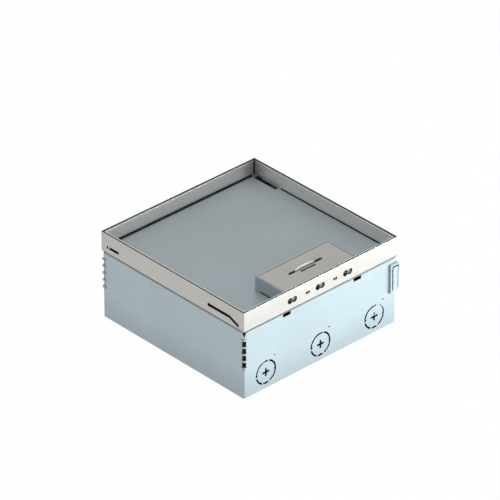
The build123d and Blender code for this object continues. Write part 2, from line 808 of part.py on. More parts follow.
def make_socket_carrier():
    """The bridge that holds the three modules over the base plate."""
    y0, y1 = carrier_y - carrier_width / 2, carrier_y + carrier_width / 2
    half = carrier_half
    profile = bridge_profile(half, carrier_foot, carrier_sheet, base_sheet, carrier_top_z)
    bridge = Pos(0, y1, 0) * extrude(Plane.XZ * profile, y1 - y0)
    for x in module_places.values():
        opening = extrude(Rectangle(module_opening, module_opening), carrier_sheet + 2 * past)
        bridge -= Pos(x, carrier_y, carrier_bottom - past) * opening
    window_half = carrier_window_width / 2
    low, high = base_sheet + carrier_window_foot, carrier_bottom - carrier_window_head
    for side in (-1, 1):
        x0, x1 = sorted((side * (half - carrier_sheet - past), side * (half + past)))
        bridge -= slab(x0, x1, carrier_y - window_half, carrier_y + window_half, low, high)
    hole = small_screw_radius + small_screw_clearance
    for x, y in carrier_screw_points():
        bridge -= rod_z(hole, 0, base_sheet + carrier_sheet + past, x, y)
    return bridge


def slotted_head(radius, low, height, x, y):
    """A round screw head with a driver slot and a broken edge."""
    head = rod_z(radius, low, low + height, x, y)
    head = chamfer(head.edges().sort_by(Axis.Z)[-1], head_edge)
    half = driver_slot_width / 2
    floor = low + height - driver_slot_depth
    return head - slab(x - radius - past, x + radius + past, y - half, y + half, floor, low + height + past)


def make_carrier_screws():
    """The four screws through the carrier's feet."""
    top = base_sheet + carrier_sheet
    screws = []
    for x, y in carrier_screw_points():
        shank = rod_z(small_screw_radius, screw_end_z, top, x, y)
        screws.append(shank + slotted_head(small_head_radius, top, small_head_height, x, y))
    return screws


def make_socket_cover(x):
    """The face of one socket: a square plate with a round well, contact and clip openings."""
    plate = Pos(x, carrier_y, carrier_top_z) * extrude(
        RectangleRounded(module_side, module_side, module_corner), module_plate
    )
    outer = rod_z(well_radius + well_wall, well_bottom - well_floor, carrier_top_z, x, carrier_y)
    cover = plate + outer
    cover -= rod_z(well_radius, well_bottom, module_top + past, x, carrier_y)
    top_edges = cover.faces().sort_by(Axis.Z)[-1].edges()
    mouth = top_edges.filter_by(GeomType.CIRCLE).sort_by(SortBy.RADIUS)[-1]
    cover = chamfer(mouth, well_mouth_chamfer)
    for side in (-1, 1):
        spot = x + side * contact_spacing / 2
        cover -= rod_z(contact_hole_radius, 0, total_height, spot, carrier_y)
        near = well_radius - earth_clip_foot - earth_clip_opening_margin
        y0, y1 = sorted((carrier_y + side * near, carrier_y + side * well_radius))
        half = earth_clip_width / 2 + earth_clip_opening_gap
        cover -= slab(x - half, x + half, y0, y1, well_bottom - well_floor - past, well_bottom)
    return cover - rod_z(socket_screw_radius, 0, total_height, x, carrier_y)


def make_socket_body(x):
    """The contact carrier under one socket face."""
    top = well_bottom - well_floor
    body = Pos(x, carrier_y, top - socket_body_height) * extrude(
        RectangleRounded(socket_body_side, socket_body_side, module_corner), socket_body_height
    )
    half = socket_body_side / 2
    middle = top - socket_body_height / 2
    for side in (-1, 1):
        spot = x + side * contact_spacing / 2
        body -= rod_z(contact_hole_radius, top - contact_hole_depth, top + past, spot, carrier_y)
        near, far = carrier_y + side * (half - terminal_hole_depth), carrier_y + side * (half + past)
        for shift in (-terminal_spacing / 2, terminal_spacing / 2):
            body -= rod_y(terminal_hole_radius, near, far, x + shift, middle)
    return body - rod_z(socket_screw_radius, top - socket_screw_hole_depth, top + past, x, carrier_y)


def make_earth_clips(x):
    """The pair of sprung earth contacts that stand in a socket's well."""
    clips = []
    base = well_bottom - well_floor
    for side in (-1, 1):
        outer = carrier_y + side * (well_radius - earth_clip_gap)
        inner = outer - side * earth_clip_sheet
        foot = outer - side * earth_clip_foot
        half = earth_clip_width / 2
        y0, y1 = sorted((inner, outer))
        f0, f1 = sorted((foot, outer))
        strip = slab(x - half, x + half, y0, y1, base, base + earth_clip_height)
        strip += slab(x - half, x + half, f0, f1, base, base + earth_clip_sheet)
        h0, h1 = sorted((inner - side * earth_hook_depth, inner))
        hook = slab(x - half, x + half, h0, h1, base + earth_hook_low, base + earth_hook_high)
        clips.append(strip + hook)
    return clips


def make_socket_screws():
    """The middle screw of each socket."""
    screws = []
    for x in (module_places["left"], module_places["middle"]):
        shank = rod_z(socket_screw_radius, well_bottom - socket_screw_length, well_bottom, x, carrier_y)
        head = slotted_head(socket_screw_head, well_bottom, socket_screw_head_height, x, carrier_y)
        screws.append(shank + head)
    return screws


def jack_centres():
    """The middles of the two data jacks."""
    x = module_places["data"]
    return [x - jack_spacing / 2, x + jack_spacing / 2]


def make_data_cover():
    """The face plate of the data module, with two openings for the jacks."""
    x = module_places["data"]
    cover = Pos(x, carrier_y, carrier_top_z) * extrude(
        RectangleRounded(module_side, module_side, module_corner), module_plate
    )
    half = module_opening / 2 - data_skirt_gap
    skirt = square_outline(half, data_skirt_corner)
    skirt -= square_outline(half - data_skirt_sheet, data_skirt_corner - data_skirt_sheet)
    low = carrier_bottom - data_skirt_depth
    cover += Pos(x, carrier_y, low) * extrude(skirt, carrier_top_z - low)
    opening = Rectangle(jack_width + 2 * jack_gap, jack_depth + 2 * jack_gap)
    for centre in jack_centres():
        cover -= Pos(centre, carrier_y, low - past) * extrude(opening, module_top - low + 2 * past)
    return cover


def make_data_jacks():
    """The two data jacks, each with its keyed port."""
    jacks = []
    top = module_top - jack_drop
    flange = Rectangle(jack_width, jack_depth + jack_flange_width)
    for x in jack_centres():
        block = extrude(Rectangle(jack_width, jack_depth), jack_height)
        jack = Pos(x, carrier_y, top - jack_height) * block
        jack += Pos(x, carrier_y, carrier_bottom - jack_flange_height) * extrude(flange, jack_flange_height)
        port = Rectangle(port_width, port_height)
        port += Pos(0, -(port_height + port_key_height) / 2) * Rectangle(port_key_width, port_key_height)
        hollow = Pos(x, carrier_y + jack_shift, top - port_depth) * extrude(port, port_depth + past)
        jacks.append(jack - hollow)
    return jacks


def make_carrier_divider():
    """The plate that keeps mains and data wiring apart under the carrier."""
    x0, x1 = divider_x - divider_sheet / 2, divider_x + divider_sheet / 2
    half = carrier_width / 2 - divider_end_gap
    y0, y1 = carrier_y - half, carrier_y + half
    divider = slab(x0, x1, y0, y1, base_sheet, carrier_bottom)
    foot_top = base_sheet + divider_sheet
    return divider + slab(x0 - divider_foot_width, x1, y0, y0 + divider_foot_length, base_sheet, foot_top)


def make_clamp_rail():
    """The raised rail that the cable saddles screw to."""
    half = knockout_places[-1] + saddle_width / 2 - clamp_rail_foot
    profile = bridge_profile(half, clamp_rail_foot, clamp_rail_sheet, rail_bottom_z, rail_top_z)
    back = clamp_rail_y + clamp_rail_width / 2
    rail = Pos(0, back, 0) * extrude(Plane.XZ * profile, clamp_rail_width)
    for x, y in clamp_screw_points():
        rail -= rod_z(small_screw_radius, rail_bottom_z, rail_top_z + past, x, y)
    return rail


def make_clamp_saddles():
    """The plastic saddles, one behind each knock-out."""
    saddles = []
    for x in knockout_places:
        saddle = Pos(x, clamp_rail_y, rail_top_z) * extrude(
            RectangleRounded(saddle_width, saddle_depth, saddle_corner), saddle_height
        )
        near, far = clamp_rail_y - saddle_depth, clamp_rail_y + saddle_depth
        saddle -= rod_y(saddle_bore, near, far, x, rail_top_z)
        hole = small_screw_radius + small_screw_clearance
        for side in (-1, 1):
            spot = x + side * saddle_screw_spacing / 2
            saddle -= rod_z(hole, rail_top_z - past, rail_top_z + saddle_height + past, spot, clamp_rail_y)
        saddles.append(saddle)
    return saddles


def make_clamp_screws():
    """The screws that press the saddles down."""
    screws = []
    top = rail_top_z + saddle_height
    for x, y in clamp_screw_points():
        shank = rod_z(small_screw_radius, rail_top_z - clamp_rail_sheet - clamp_screw_reach, top, x, y)
        screws.append(shank + slotted_head(small_head_radius, top, small_head_height, x, y))
    return screws


def make_earth_stud():
    """The stud pressed into the base plate for the protective conductor."""
    stud = rod_z(earth_stud_radius, 0, base_sheet + earth_stud_height, earth_x, earth_y)
    head = rod_z(earth_head_radius, base_sheet, base_sheet + earth_head_height, earth_x, earth_y)
    return stud + head


def make_earth_washer():
    """The plain washer on the earth stud."""
    low = base_sheet + earth_head_height
    washer = rod_z(earth_washer_radius, low, low + earth_washer_height, earth_x, earth_y)
    return washer - rod_z(earth_stud_radius, 0, total_height, earth_x, earth_y)


def make_earth_nut():
    """The nut on the earth stud."""
    low = base_sheet + earth_head_height + earth_washer_height
    nut = hexagon(earth_nut_flats, low, low + earth_nut_height, earth_x, earth_y)
    return nut - rod_z(earth_stud_radius, 0, total_height, earth_x, earth_y)


def build_nodes():
    """Every sub-part by name, as one solid or a list of like solids."""
    nodes = {
        "wall_band": make_wall_band(),
        "base_plate": make_base_plate(),
        "corner_brackets": [make_corner_bracket(c) for c in corners.values()],
        "corner_nuts": [make_corner_nut(c) for c in corners.values()],
        "outer_frame": make_outer_frame(),
        "frame_sides": make_frame_sides(),
        "support_ring": make_support_ring(),
        "ring_back": make_ring_back(),
        "ring_ends": [make_ring_end(side) for side in (-1, 1)],
        "ring_skirt": make_ring_skirt(),
        "ledge_seal": make_ledge_seal(),
        "corner_lugs": [make_corner_lug(c) for c in corners.values()],
        "tray_rim": make_tray_rim(),
        "tray_pan": make_tray_pan(),
        "tray_ribs": [make_tray_rib(y) for y in rib_places],
        "hinge_pins": make_hinge_pins(),
        "flap_pins": make_flap_pins(),
        "cord_flap": make_cord_flap(),
        "handle_guide": make_handle_guide(),
        "pull_handle": make_pull_handle(),
        "socket_carrier": make_socket_carrier(),
        "carrier_screws": make_carrier_screws(),
        "carrier_divider": make_carrier_divider(),
        "socket_screws": make_socket_screws(),
        "data_cover": make_data_cover(),
        "data_jacks": make_data_jacks(),
        "clamp_rail": make_clamp_rail(),
        "clamp_saddles": make_clamp_saddles(),
        "clamp_screws": make_clamp_screws(),
        "earth_stud": make_earth_stud(),
        "earth_washer": make_earth_washer(),
        "earth_nut": make_earth_nut(),
    }
    for name, corner in corners.items():
        nodes[f"levelling_screw_{name}"] = make_levelling_screw(corner)
        nodes[f"retaining_clip_{name}"] = make_retaining_clip(corner)
    for name in ("left", "middle"):
        nodes[f"socket_cover_{name}"] = make_socket_cover(module_places[name])
        nodes[f"socket_body_{name}"] = make_socket_body(module_places[name])
        nodes[f"earth_clips_{name}"] = make_earth_clips(module_places[name])
    return nodes


def main():
    os.makedirs("parts", exist_ok=True)
    for name, shape in build_nodes().items():
        if isinstance(shape, list):
            solids = [solid for piece in shape for solid in piece.solids()]
        else:
            solids = shape.solids()
        export_step(solids[0] if len(solids) == 1 else Compound(solids), f"parts/{name}.step")


main()
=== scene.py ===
"""Floor socket box: the finish of every sheet and fitting, refined sheet parts, light and camera."""

import math

import bmesh
import bpy
from mathutils import Matrix, Vector


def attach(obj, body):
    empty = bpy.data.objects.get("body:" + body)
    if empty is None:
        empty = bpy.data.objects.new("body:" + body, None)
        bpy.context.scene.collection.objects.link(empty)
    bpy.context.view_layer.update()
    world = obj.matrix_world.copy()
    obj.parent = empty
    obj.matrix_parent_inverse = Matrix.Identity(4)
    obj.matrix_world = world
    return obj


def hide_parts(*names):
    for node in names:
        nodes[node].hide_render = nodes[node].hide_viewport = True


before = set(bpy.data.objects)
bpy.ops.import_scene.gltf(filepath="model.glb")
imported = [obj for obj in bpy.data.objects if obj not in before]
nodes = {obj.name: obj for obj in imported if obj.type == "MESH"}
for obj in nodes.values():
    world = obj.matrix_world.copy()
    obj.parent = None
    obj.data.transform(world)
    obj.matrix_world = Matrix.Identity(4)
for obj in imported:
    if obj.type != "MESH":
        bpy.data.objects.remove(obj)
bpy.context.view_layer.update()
MM = 0.001

# Camera: the photograph's viewing direction, in degrees and metres
VIEW_AZIMUTH = 42.984
VIEW_ELEVATION = 31.905
VIEW_DISTANCE = 4.7987
VIEW_LENS = 361.87
SENSOR_WIDTH = 36.0
TARGET_SIDE = 0.695 * MM
TARGET_HEIGHT = 77.77 * MM

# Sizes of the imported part, in millimetres: how far its upright faces lie from the middle, and its heights
FRAME_OUTSIDE = 100.0
FRAME_INSIDE = 98.8
FRAME_BOTTOM = 74.9
WALL_OUTSIDE = 99.1
WALL_INSIDE = 98.1
WALL_TOP = 73.5
RIM_OUTSIDE = 97.9
RIM_INSIDE = 96.9
RIM_TOP = 95.2

# Steps from the middle: a row of three, and a pair
ROW = (-1, 0, 1)
SIDES = (-1, 1)

# Finishes, as linear colours
STAINLESS_COLOUR = (0.56, 0.545, 0.51)
# Lighter than the frame's stainless: painted light on the rim's inner walls, which get little light.
RIM_PAINTED_LIGHT_COLOUR = (0.76, 0.78, 0.75)
# Near white: a painted highlight on the handle's blade.
HANDLE_HIGHLIGHT_COLOUR = (0.95, 0.95, 0.93)
# Dark grey: painted shade on the rivet heads in the eyelets and on hidden fittings.
HEAD_SHADE_COLOUR = (0.16, 0.155, 0.145)
ZINC_COLOUR = (0.385, 0.46, 0.49)
PAN_COLOUR = (0.43, 0.485, 0.515)
HARDWARE_COLOUR = (0.55, 0.56, 0.56)
YELLOWED_COLOUR = (0.60, 0.58, 0.50)
BRASS_COLOUR = (0.62, 0.45, 0.20)
WHITE_PLASTIC_COLOUR = (0.78, 0.78, 0.75)
GREY_PLASTIC_COLOUR = (0.16, 0.17, 0.18)
SADDLE_PLASTIC_COLOUR = (0.02, 0.02, 0.022)
RUBBER_COLOUR = (0.018, 0.018, 0.02)
# Near black: raw steel of the cut edges, deepened into painted shade in slots, gaps and windows.
RAW_EDGE_AND_SHADE_COLOUR = (0.035, 0.035, 0.033)
# Dark grey: painted shade in narrow gaps, on the frame's inside and the rim's outer side.
GAP_SHADE_COLOUR = (0.16, 0.155, 0.15)


class Finish:
    """A procedural material in the making: its node tree, shader and object coordinates."""

    def __init__(self, name):
        self.material = bpy.data.materials.new(name)
        self.material.use_nodes = True
        self.tree = self.material.node_tree
        self.shader = self.tree.nodes["Principled BSDF"]
        self.coordinates = self.tree.nodes.new("ShaderNodeTexCoord").outputs["Object"]

    def add(self, kind, **inputs):
        """A node of that kind, with its named inputs set to values or linked to sockets."""
        node = self.tree.nodes.new(kind)
        for name, value in inputs.items():
            self.set(node.inputs[name.replace("_", " ")], value)
        return node

    def set(self, socket, value):
        """Gives a socket a value, or links it to another socket."""
        if isinstance(value, bpy.types.NodeSocket):
            self.tree.links.new(value, socket)
        else:
            socket.default_value = value

    def stretched(self, scale):
        """Object coordinates stretched by a factor along each axis."""
        mapping = self.add("ShaderNodeMapping", Vector=self.coordinates)
        mapping.inputs["Scale"].default_value = scale
        return mapping.outputs["Vector"]

    def noise(self, scale, detail=3.0, roughness=0.5):
        """Noise whose cells are 1 / scale metres along each axis."""
        cells = self.stretched(scale)
        return self.add(
            "ShaderNodeTexNoise", Vector=cells, Scale=1.0, Detail=detail, Roughness=roughness
        ).outputs["Fac"]

    def between(self, factor, low, high, start=0.35, end=0.65):
        """A number that goes from low to high as the factor goes from start to end."""
        node = self.add("ShaderNodeMapRange")
        node.interpolation_type = "SMOOTHSTEP"
        for socket, value in zip(node.inputs, (factor, start, end, low, high)):
            self.set(socket, value)
        return node.outputs["Result"]

    def step(self, operation, first, second=0.0):
        """One arithmetic step on numbers or sockets."""
        node = self.tree.nodes.new("ShaderNodeMath")
        node.operation = operation
        self.set(node.inputs[0], first)
        self.set(node.inputs[1], second)
        return node.outputs[0]

    def places(self):
        """The object's x, y and z in millimetres."""
        split = self.add("ShaderNodeSeparateXYZ", Vector=self.coordinates)
        return [self.step("MULTIPLY", split.outputs[axis], 1.0 / MM) for axis in "XYZ"]

    def spread(self):
        """The larger and the smaller of the distances from the middle along X and Y, and the height."""
        x, y, z = self.places()
        x, y = self.step("ABSOLUTE", x), self.step("ABSOLUTE", y)
        return self.step("MAXIMUM", x, y), self.step("MINIMUM", x, y), z

    def over(self, value, edge, soft=0.06):
        """One where a number is over an edge, and zero where it is under it."""
        return self.between(value, 0.0, 1.0, edge - soft, edge + soft)

    def under(self, value, edge, soft=0.06):
        """One where a number is under an edge, and zero where it is over it."""
        return self.between(value, 1.0, 0.0, edge - soft, edge + soft)

    def all_of(self, *factors):
        """The product of some factors."""
        product = factors[0]
        for factor in factors[1:]:
            product = self.step("MULTIPLY", product, factor)
        return product

    def shade(self, colour, factor):
        """A colour multiplied by a number."""
        node = self.add("ShaderNodeVectorMath")
        node.operation = "SCALE"
        self.set(node.inputs[0], colour)
        self.set(node.inputs["Scale"], factor)
        return node.outputs["Vector"]

    def blend(self, factor, first, second):
        """A colour between two colours."""
        node = self.tree.nodes.new("ShaderNodeMix")
        node.data_type = "RGBA"
        self.set(node.inputs["Factor"], factor)
        for socket, value in zip([s for s in node.inputs if s.type == "RGBA"], (first, second)):
            self.set(socket, (*value, 1.0) if isinstance(value, tuple) else value)
        return [s for s in node.outputs if s.type == "RGBA"][0]

    def bump(self, height, distance, strength=1.0):
        """Surface relief of that depth in metres."""
        node = self.add("ShaderNodeBump", Height=height, Distance=distance, Strength=strength)
        self.set(self.shader.inputs["Normal"], node.outputs["Normal"])

    def finish(self, **inputs):
        """Sets the shader's own inputs and hands back the material."""
        for name, value in inputs.items():
            self.set(self.shader.inputs[name.replace("_", " ")], value)
        return self.material


def tinted(colour, factor):
    """A colour made lighter or darker."""
    return tuple(channel * factor for channel in colour)


# Where shade is painted on the walls and on cut edges, in millimetres
CUT_MARGIN = 0.1
FOLD_MARGIN = 1.7
CORNER_SHADE_START = 92.5
WALL_FOOT_TOP = 34.0
PAINTED_GAP_LINE = (72.4, 72.95)
LEDGE_EDGE = 98.4


def wall_edge_and_shade_mask(zinc):
    """One where shade is painted: on the wall's cut edges (raw steel, painted near black as shade), inside its
    corners and on a dark line at its top for the gap under the frame; zero elsewhere.
    """
    reach, tuck, z = zinc.spread()
    cuts = zinc.all_of(
        zinc.over(reach, WALL_INSIDE + CUT_MARGIN), zinc.under(reach, WALL_OUTSIDE - CUT_MARGIN),
        zinc.under(tuck, WALL_OUTSIDE - FOLD_MARGIN), zinc.under(z, WALL_TOP - 0.2), zinc.over(z, 0.4),
    )
    corners = zinc.all_of(
        zinc.over(tuck, CORNER_SHADE_START), zinc.under(reach, WALL_INSIDE - 0.05),
        zinc.over(z, WALL_FOOT_TOP),
    )
    # A painted shadow line for the gap under the frame's edge.
    low, high = PAINTED_GAP_LINE
    line = zinc.all_of(zinc.over(reach, WALL_OUTSIDE - 0.2), zinc.over(z, low), zinc.under(z, high))
    return zinc.step("MAXIMUM", zinc.step("MAXIMUM", cuts, corners), line)


def wall_foot_and_ledge_shade(zinc):
    """Painted shade: the walls darker towards the floor, and the ledges under the cover darkened."""
    reach, _, z = zinc.spread()
    ledge = zinc.all_of(zinc.over(z, WALL_TOP + 0.1), zinc.under(reach, LEDGE_EDGE))
    foot = zinc.between(z, 0.86, 1.0, 0.0, WALL_FOOT_TOP)
    return zinc.step("MULTIPLY", foot, zinc.between(ledge, 1.0, 0.3))


def galvanised(name, grain, colour=ZINC_COLOUR, walls=False):
    """Zinc-plated sheet: fine rolling grain, faint cloudiness and small bright flecks."""
    zinc = Finish(name)
    cloud = zinc.noise((16, 16, 16), detail=2.0)
    streak = zinc.noise(grain, detail=4.0, roughness=0.65)
    fleck = zinc.noise((900, 900, 900), detail=1.0)
    base = zinc.blend(zinc.between(cloud, 0.0, 1.0), tinted(colour, 0.985), tinted(colour, 1.02))
    grained = zinc.shade(base, zinc.between(streak, 0.965, 1.03, 0.3, 0.7))
    flecked = zinc.shade(grained, zinc.between(fleck, 1.0, 1.06, 0.62, 0.8))
    rough = zinc.between(streak, 0.39, 0.44, 0.3, 0.7)
    if walls:
        # Walls only: painted shade, near black where the mask is set, and darker zinc on the foot and the
        # ledges.
        flecked = zinc.blend(wall_edge_and_shade_mask(zinc), zinc.shade(flecked, wall_foot_and_ledge_shade(zinc)), RAW_EDGE_AND_SHADE_COLOUR)
    return zinc.finish(Base_Color=flecked, Roughness=rough, Metallic=0.68)


def band_shade_mask(steel):
    """One where shade is painted: on the band's inside, its cut edges and its lowest line for the shadow under
    its edge; zero on its outer face.
    """
    reach, _, z = steel.spread()
    return steel.step("MAXIMUM", steel.under(reach, FRAME_OUTSIDE - 0.2), steel.under(z, FRAME_BOTTOM + 0.4))


def band_shade_colour(steel):
    """Painted shade: dark grey on the band's inside, black on the cut edges."""
    cut_edge = steel.over(steel.spread()[0], FRAME_INSIDE + CUT_MARGIN)
    return steel.blend(cut_edge, GAP_SHADE_COLOUR, RAW_EDGE_AND_SHADE_COLOUR)


def band_side_shade(steel):
    """Painted shade: the band's left side a little darker than its front."""
    x = steel.places()[0]
    return steel.between(x, 0.89, 1.0, 0.05 - FRAME_OUTSIDE, 0.4 - FRAME_OUTSIDE)


def rim_shade_mask(steel):
    """One on the rim's outer side, painted as the shade of the narrow gap, and in the seam of the far corner.
    """
    x, y, z = steel.places()
    reach = steel.step("MAXIMUM", steel.step("ABSOLUTE", x), steel.step("ABSOLUTE", y))
    outside = steel.all_of(steel.over(reach, RIM_INSIDE + 0.2), steel.under(z, RIM_TOP + 0.25))
    seam = steel.over(steel.step("MINIMUM", x, y), RIM_INSIDE - 1.2, 0.5)
    return steel.step("MAXIMUM", outside, seam)


def rim_shade_colour(steel):
    """Painted shade: grey behind the eyelets, black behind the slots of the sides; black also in the seam."""
    y = steel.places()[1]
    return steel.blend(steel.over(y, 0.9 - RIM_INSIDE), GAP_SHADE_COLOUR, RAW_EDGE_AND_SHADE_COLOUR)


def rim_side_and_corner_shade(steel):
    """Painted shade: the rim's right side darker, and a darker patch in the far corner."""
    x, y, _ = steel.places()
    right = steel.between(x, 1.0, 0.83, RIM_INSIDE - 0.4, RIM_INSIDE - 0.2)
    corner = steel.between(steel.step("MINIMUM", x, y), 1.0, 0.5, RIM_INSIDE - 20.9, RIM_INSIDE - 0.9)
    return steel.step("MULTIPLY", right, corner)


def brushed_stainless(
    name, grain, colour=STAINLESS_COLOUR, metallic=0.7, side_shade=None, shade_mask=None, shade_colour=None
):
    """Ground stainless sheet with a soft sheen; optionally painted shade over some faces and painted shade in
    its hollows and gaps.
    """
    steel = Finish(name)
    line = steel.noise(grain, detail=5.0, roughness=0.7)
    cloud = steel.noise((14, 14, 14), detail=2.0)
    base = steel.blend(steel.between(cloud, 0.0, 1.0), colour, tinted(colour, 0.975))
    lined = steel.shade(base, steel.between(line, 0.97, 1.03, 0.3, 0.7))
    rough = steel.between(line, 0.32, 0.40, 0.3, 0.7)
    # Painted shade: the side shade darkens faces, and the shade colour fills the masked hollows and gaps.
    if side_shade:
        lined = steel.blend(shade_mask(steel), steel.shade(lined, side_shade(steel)), shade_colour(steel))
    steel.bump(line, 0.003 * MM)
    return steel.finish(Base_Color=lined, Roughness=rough, Metallic=metallic)


def plated_hardware():
    """Bright zinc on screws, nuts and clips."""
    zinc = Finish("zinc_hardware")
    cloud = zinc.noise((260, 260, 260), detail=3.0)
    base = zinc.blend(zinc.between(cloud, 0.0, 1.0), HARDWARE_COLOUR, YELLOWED_COLOUR)
    return zinc.finish(Base_Color=base, Roughness=zinc.between(cloud, 0.24, 0.38), Metallic=1.0)


def contact_brass():
    """Brass contacts with a little tarnish."""
    brass = Finish("contact_brass")
    cloud = brass.noise((320, 320, 320), detail=3.0)
    base = brass.blend(brass.between(cloud, 0.0, 1.0), BRASS_COLOUR, tinted(BRASS_COLOUR, 0.75))
    return brass.finish(Base_Color=base, Roughness=brass.between(cloud, 0.25, 0.42), Metallic=1.0)


def moulded_plastic(name, colour, roughness):
    """Moulded plastic with a fine spark-eroded texture."""
    plastic = Finish(name)
    grain = plastic.noise((2600, 2600, 2600), detail=2.0)
    cloud = plastic.noise((60, 60, 60), detail=2.0)
    base = plastic.blend(plastic.between(cloud, 0.0, 1.0), colour, tinted(colour, 0.95))
    rough = plastic.between(grain, roughness - 0.05, roughness + 0.06)
    plastic.bump(grain, 0.02 * MM, 0.6)
    return plastic.finish(Base_Color=base, Roughness=rough, IOR=1.5)


def seal_rubber():
    """Matt black foam rubber."""
    rubber = Finish("seal_rubber")
    pore = rubber.noise((1800, 1800, 1800), detail=3.0)
    base = rubber.blend(rubber.between(pore, 0.0, 1.0), RUBBER_COLOUR, tinted(RUBBER_COLOUR, 1.8))
    rubber.bump(pore, 0.06 * MM)
    return rubber.finish(Base_Color=base, Roughness=0.82)


# Grain of the sheets: noise cells per metre along X, Y and Z. Few cells along an axis make lines along it.
VERTICAL_GRAIN = (1300, 1300, 260)
LENGTHWISE_GRAIN = (1100, 90, 1100)
CROSSWISE_GRAIN = (90, 1100, 1100)
EVEN_GRAIN = (300, 300, 300)
BAND_GRAIN = (60, 60, 2200)
FLAP_GRAIN = (60, 2200, 2200)

finishes = {
    "galvanised_wall": galvanised("galvanised_wall", VERTICAL_GRAIN, walls=True),
    "galvanised_sheet": galvanised("galvanised_sheet", LENGTHWISE_GRAIN),
    "galvanised_pan": galvanised("galvanised_pan", LENGTHWISE_GRAIN, PAN_COLOUR),
    "galvanised_strip": galvanised("galvanised_strip", CROSSWISE_GRAIN),
    "stainless_band": brushed_stainless(
        "stainless_band", BAND_GRAIN, side_shade=band_side_shade, shade_mask=band_shade_mask, shade_colour=band_shade_colour
    ),
    # The rim's lighter colour is painted light, and its masks paint shade.
    "stainless_rim": brushed_stainless(
        "stainless_rim", BAND_GRAIN, RIM_PAINTED_LIGHT_COLOUR, 0.5, rim_side_and_corner_shade, rim_shade_mask, rim_shade_colour
    ),
    "stainless_flap": brushed_stainless("stainless_flap", FLAP_GRAIN),
    # The handle's near white is a painted highlight.
    "handle_painted_highlight": brushed_stainless("handle_painted_highlight", FLAP_GRAIN, HANDLE_HIGHLIGHT_COLOUR, 0.5),
    "painted_shade_heads": galvanised("painted_shade_heads", EVEN_GRAIN, HEAD_SHADE_COLOUR),
    "zinc_hardware": plated_hardware(),
    "contact_brass": contact_brass(),
    "socket_plastic": moulded_plastic("socket_plastic", WHITE_PLASTIC_COLOUR, 0.42),
    "housing_plastic": moulded_plastic("housing_plastic", GREY_PLASTIC_COLOUR, 0.5),
    "saddle_plastic": moulded_plastic("saddle_plastic", SADDLE_PLASTIC_COLOUR, 0.5),
    "seal_rubber": seal_rubber(),
}

# The imported nodes in each finish. The dark zinc of the rivet heads, painted shade, is also on the hidden
# clamp fittings.
CORNERS = ("front", "left", "right", "rear")
SOCKETS = ("left", "middle")
node_finishes = {
    "galvanised_wall": [
        "wall_band", "support_ring", "ring_back", "ring_ends", "ring_skirt", "corner_brackets", "corner_lugs",
    ],
    "galvanised_pan": ["tray_pan"],
    "galvanised_sheet": ["base_plate", "carrier_divider"],
    "painted_shade_heads": ["handle_guide", "clamp_rail", "clamp_screws"],
    "galvanised_strip": ["tray_ribs", "socket_carrier"],
    "stainless_band": ["outer_frame", "frame_sides"],
    "stainless_rim": ["tray_rim"],
    "stainless_flap": ["cord_flap"],
    "handle_painted_highlight": ["pull_handle"],
    "zinc_hardware": [
        "corner_nuts", "hinge_pins", "flap_pins", "carrier_screws", "socket_screws",
        "earth_washer", "earth_nut", *(f"levelling_screw_{c}" for c in CORNERS),
        *(f"retaining_clip_{c}" for c in CORNERS),
    ],
    "contact_brass": ["earth_stud", *(f"earth_clips_{s}" for s in SOCKETS)],
    "socket_plastic": ["data_cover", *(f"socket_cover_{s}" for s in SOCKETS)],
    "housing_plastic": ["data_jacks", *(f"socket_body_{s}" for s in SOCKETS)],
    "saddle_plastic": ["clamp_saddles"],
    "seal_rubber": ["ledge_seal"],
}


def dress_nodes():
    """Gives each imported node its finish."""
    for finish, names in node_finishes.items():
        for name in names:
            mesh = nodes[name].data
            mesh.materials.clear()
            mesh.materials.append(finishes[finish])


def copied(name):
    """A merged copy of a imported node's mesh."""
    shape = bmesh.new()
    shape.from_mesh(nodes[name].data)
    bmesh.ops.remove_doubles(shape, verts=shape.verts, dist=0.001 * MM)
    return shape


def add_block(shape, x, y, z):
    """Adds a block to a shape, given by its low and high x, y and z in millimetres."""
    size = Matrix.Diagonal([(pair[1] - pair[0]) * MM for pair in (x, y, z)] + [1.0])
    middle = Vector([(pair[0] + pair[1]) / 2 * MM for pair in (x, y, z)])
    bmesh.ops.create_cube(shape, size=1.0, matrix=Matrix.Translation(middle) @ size)


def soften(shape, edges, offset):
    """Rounds edges off by an offset in millimetres."""
    bmesh.ops.bevel(
        shape, geom=edges, offset=offset * MM, segments=2, profile=0.5, affect="EDGES", material=-1
    )


def add_rod(shape, axis, centre, radius, depth, chamfer=0.0):
    """Adds a round rod along X or Y with its middle at centre, all in millimetres."""
    turn = Matrix.Rotation(math.pi / 2, 4, "Y" if axis == "X" else "X")
    made = bmesh.ops.create_cone(
        shape, cap_ends=True, segments=40, radius1=radius * MM, radius2=radius * MM, depth=depth * MM,
        matrix=Matrix.Translation(Vector(centre) * MM) @ turn,
    )
    if chamfer:
        edges = {edge for vert in made["verts"] for edge in vert.link_edges}
        rounds = [edge for edge in edges if any(len(face.verts) > 4 for face in edge.link_faces)]
        soften(shape, rounds, chamfer)


def linked(shape, name):
    """A finished bmesh as an object in the scene."""
    mesh = bpy.data.meshes.new(name)
    shape.to_mesh(mesh)
    shape.free()
    piece = bpy.data.objects.new(name, mesh)
    bpy.context.scene.collection.objects.link(piece)
    return piece


def carved(shape, cutter):
    """The shape with the cutter taken out of it."""
    base, tool = linked(shape, "carved_shape"), linked(cutter, "cutter")
    cut = base.modifiers.new("cut", "BOOLEAN")
    cut.object = tool
    cut.solver = "EXACT"
    cut.use_self = True
    bpy.context.view_layer.update()
    mesh = bpy.data.meshes.new_from_object(base.evaluated_get(bpy.context.evaluated_depsgraph_get()))
    result = bmesh.new()
    result.from_mesh(mesh)
    for spare in (base.data, tool.data, mesh):
        bpy.data.meshes.remove(spare)
    return result


SHARP_ANGLE = math.radians(12)


